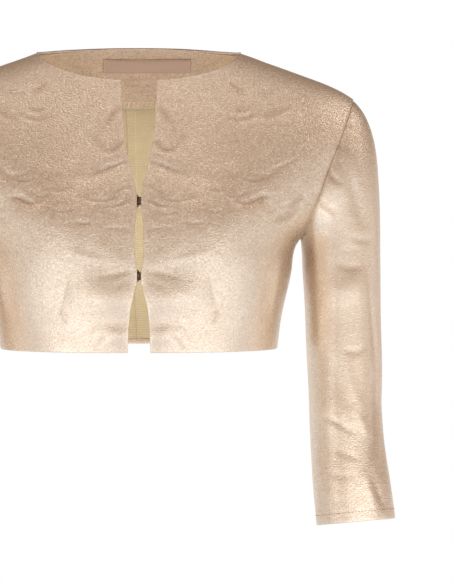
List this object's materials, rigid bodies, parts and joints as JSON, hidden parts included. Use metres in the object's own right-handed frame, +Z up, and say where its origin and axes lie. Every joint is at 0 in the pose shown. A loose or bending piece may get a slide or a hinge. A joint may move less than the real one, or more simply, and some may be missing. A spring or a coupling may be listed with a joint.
{
  "type": "bolero jacket",
  "caption": "Cropped collarless jacket in metallic faux leather with three-quarter sleeves and front edges that meet at hooks.",
  "frame": {"origin": "midway between the two points where the neckline crosses the shoulder seams, where the wearer's shoulders carry it", "axes": "+Z up, +X towards the wearer's left, -Y the front"},
  "size_m": [0.4732, 0.2251, 0.4489],
  "materials": {
    "leather": "pebbled rose gold foil, satin",
    "facing": "pebbled rose gold foil, satin",
    "lining": "smooth olive gold satin lining",
    "label": "plain woven label",
    "hooks": "dark bronze"
  },
  "bodies": {
    "root": {"front_left": "leather", "front_right": "leather", "back": "leather", "sleeve_left": "leather", "sleeve_right": "leather", "neck_facing": "facing", "back_lining": "lining", "label": "label", "hook_upper": "hooks", "bar_upper": "hooks", "hook_lower": "hooks", "bar_lower": "hooks"}
  },
  "joints": []
}
